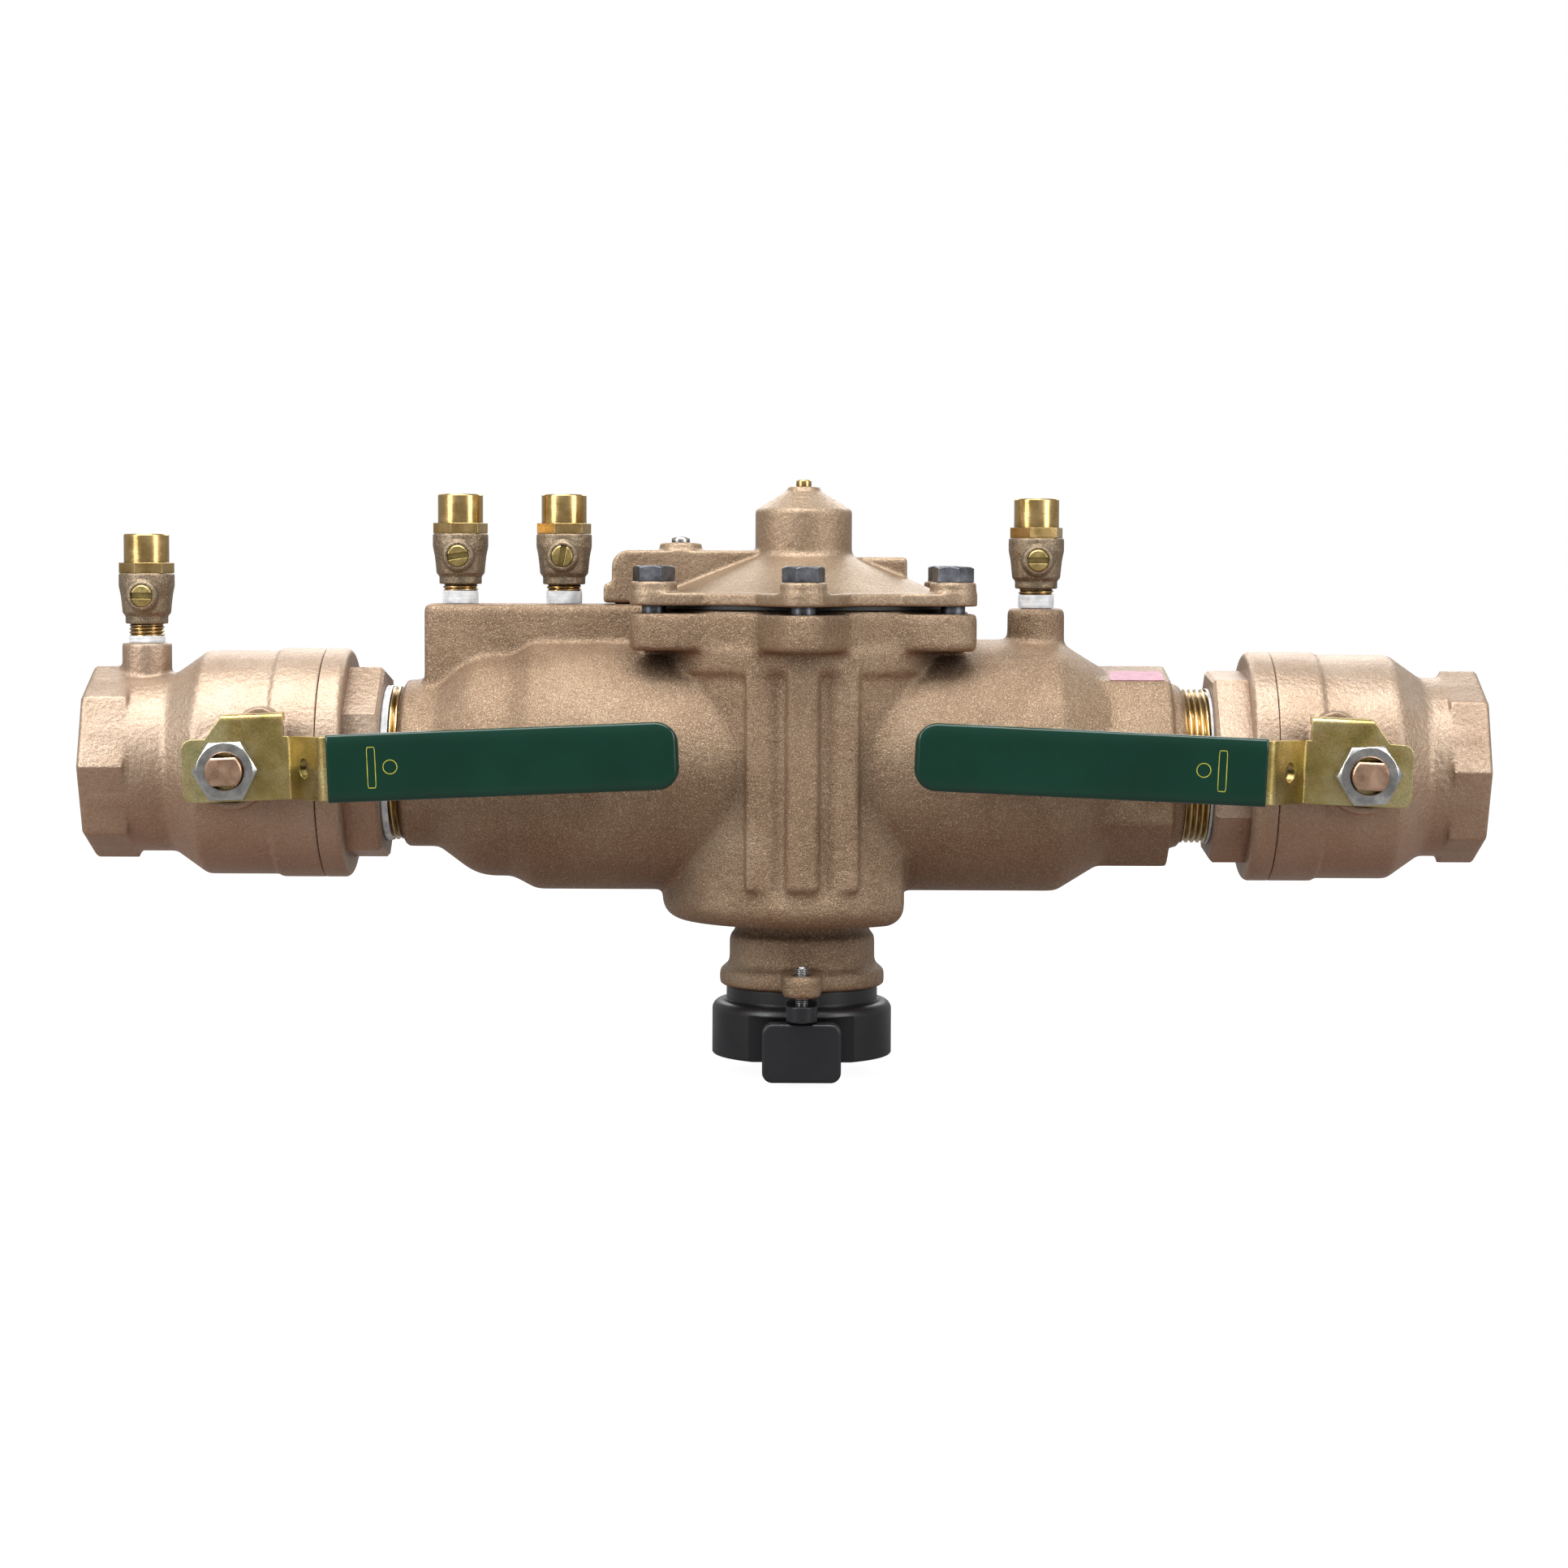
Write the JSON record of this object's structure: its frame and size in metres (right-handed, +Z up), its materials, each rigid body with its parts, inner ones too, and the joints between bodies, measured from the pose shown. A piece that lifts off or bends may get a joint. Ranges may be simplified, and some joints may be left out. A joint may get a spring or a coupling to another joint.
{
  "type": "backflow preventer",
  "caption": "Bronze reduced-pressure-zone backflow preventer with shut-off ball valves, test cocks, bolted relief cover and a flood sensor ring under the relief outlet.",
  "frame": {"origin": "centre of the inlet port's end face", "axes": "+X along the flow from inlet to outlet, +Z up, handles on the front at -Y"},
  "size_m": [0.543, 0.1508, 0.2306],
  "materials": {
    "body_bronze": "sand-cast bronze, grainy satin, sealed",
    "cover_bronze": "fine sand-cast bronze",
    "valve_bronze": "fine sand-cast bronze, pinkish tan",
    "cock_bronze": "cast bronze, tumbled",
    "machined_brass": "bright turned brass",
    "stem_bronze": "turned bronze, coppery",
    "bolt_steel": "dark plated steel",
    "screw_steel": "stainless steel",
    "spring_steel": "stainless spring wire",
    "chromate_steel": "yellow chromate plating",
    "zinc_nut": "bright zinc",
    "green_vinyl": "dark green dipped vinyl",
    "ball_chrome": "polished chrome",
    "seat_plastic": "white fluoropolymer",
    "moulded_plastic": "glass-filled engineering plastic",
    "seal_rubber": "black moulded rubber",
    "thread_tape": "white fluoropolymer tape",
    "black_plastic": "black satin plastic"
  },
  "bodies": {
    "housing": {"bleed_screw": "machined_brass", "check_1_cage": "moulded_plastic", "check_1_o_ring": "seal_rubber", "check_1_seat": "moulded_plastic", "check_1_spring": "spring_steel", "check_2_cage": "moulded_plastic", "check_2_o_ring": "seal_rubber", "check_2_seat": "moulded_plastic", "check_2_spring": "spring_steel", "cover": "cover_bronze", "cover_bolts": "bolt_steel", "diaphragm": "seal_rubber", "inlet_ball_seats": "seat_plastic", "inlet_end_cap": "valve_bronze", "inlet_gland_nut": "machined_brass", "inlet_stem_packing": "seat_plastic", "inlet_valve_body": "valve_bronze", "joint_tape": "thread_tape", "main_body": "body_bronze", "outlet_ball_seats": "seat_plastic", "outlet_end_cap": "valve_bronze", "outlet_gland_nut": "machined_brass", "outlet_stem_packing": "seat_plastic", "outlet_valve_body": "valve_bronze", "passage_o_ring": "seal_rubber", "passage_screw": "screw_steel", "relief_seat": "machined_brass", "relief_seat_o_ring": "seal_rubber", "relief_spring": "spring_steel", "sensor_housing": "black_plastic", "test_cock_bodies": "cock_bronze", "test_cock_outlets": "machined_brass", "test_cock_tapes": "thread_tape"},
    "inlet_rotor": {"inlet_ball": "ball_chrome", "inlet_stem": "stem_bronze", "inlet_handle": "chromate_steel", "inlet_grip": "green_vinyl", "inlet_handle_nut": "zinc_nut"},
    "outlet_rotor": {"outlet_ball": "ball_chrome", "outlet_stem": "stem_bronze", "outlet_handle": "chromate_steel", "outlet_grip": "green_vinyl", "outlet_handle_nut": "zinc_nut"},
    "test_plug_rotor_1": {"test_plug_1": "machined_brass"},
    "test_plug_rotor_2": {"test_plug_2": "machined_brass"},
    "test_plug_rotor_3": {"test_plug_3": "machined_brass"},
    "test_plug_rotor_4": {"test_plug_4": "machined_brass"},
    "check_1_poppet": {"check_1_disc_holder": "machined_brass", "check_1_disc": "seal_rubber"},
    "check_2_poppet": {"check_2_disc_holder": "machined_brass", "check_2_disc": "seal_rubber"},
    "relief_piston": {"relief_stem": "screw_steel", "relief_disc_holder": "machined_brass", "relief_disc": "seal_rubber", "diaphragm_plate": "screw_steel", "diaphragm_nut": "screw_steel"},
    "front_thumbscrew": {"front_thumb_knob": "black_plastic", "front_thumb_screw": "screw_steel"},
    "rear_thumbscrew": {"rear_thumb_knob": "black_plastic", "rear_thumb_screw": "screw_steel"}
  },
  "joints": [
    {"name": "inlet_handle_turn", "type": "hinge", "parent": "housing", "child": "inlet_rotor", "pos_m": [0.061, 0, 0], "axis": [0, -1, 0], "range_deg": [0, 90]},
    {"name": "outlet_handle_turn", "type": "hinge", "parent": "housing", "child": "outlet_rotor", "pos_m": [0.4919, 0, 0], "axis": [0, 1, 0], "range_deg": [0, 90]},
    {"name": "test_plug_turn_1", "type": "hinge", "parent": "housing", "child": "test_plug_rotor_1", "pos_m": [0.0211, 0, 0.0653], "axis": [0, -1, 0], "continuous": true},
    {"name": "test_plug_turn_2", "type": "hinge", "parent": "housing", "child": "test_plug_rotor_2", "pos_m": [0.1443, 0, 0.0813], "axis": [0, -1, 0], "continuous": true},
    {"name": "test_plug_turn_3", "type": "hinge", "parent": "housing", "child": "test_plug_rotor_3", "pos_m": [0.1849, 0, 0.0813], "axis": [0, -1, 0], "continuous": true},
    {"name": "test_plug_turn_4", "type": "hinge", "parent": "housing", "child": "test_plug_rotor_4", "pos_m": [0.3698, 0, 0.0803], "axis": [0, -1, 0], "continuous": true},
    {"name": "check_1_lift", "type": "slide", "parent": "housing", "child": "check_1_poppet", "axis": [1, 0, 0], "range_m": [0, 0.009], "stiffness_N_per_m": 500, "springref_m": -0.012, "deforming": ["check_1_spring"]},
    {"name": "check_2_lift", "type": "slide", "parent": "housing", "child": "check_2_poppet", "axis": [1, 0, 0], "range_m": [0, 0.009], "stiffness_N_per_m": 500, "springref_m": -0.012, "deforming": ["check_2_spring"]},
    {"name": "relief_travel", "type": "slide", "parent": "housing", "child": "relief_piston", "axis": [0, 0, -1], "range_m": [0, 0.008], "stiffness_N_per_m": 900, "springref_m": -0.02, "deforming": ["relief_spring", "diaphragm"]},
    {"name": "front_thumbscrew_turn", "type": "hinge", "parent": "housing", "child": "front_thumbscrew", "pos_m": [0.2787, -0.045, -0.1], "axis": [0, 0, 1], "continuous": true},
    {"name": "rear_thumbscrew_turn", "type": "hinge", "parent": "housing", "child": "rear_thumbscrew", "pos_m": [0.2787, 0.045, -0.1], "axis": [0, 0, 1], "continuous": true}
  ]
}
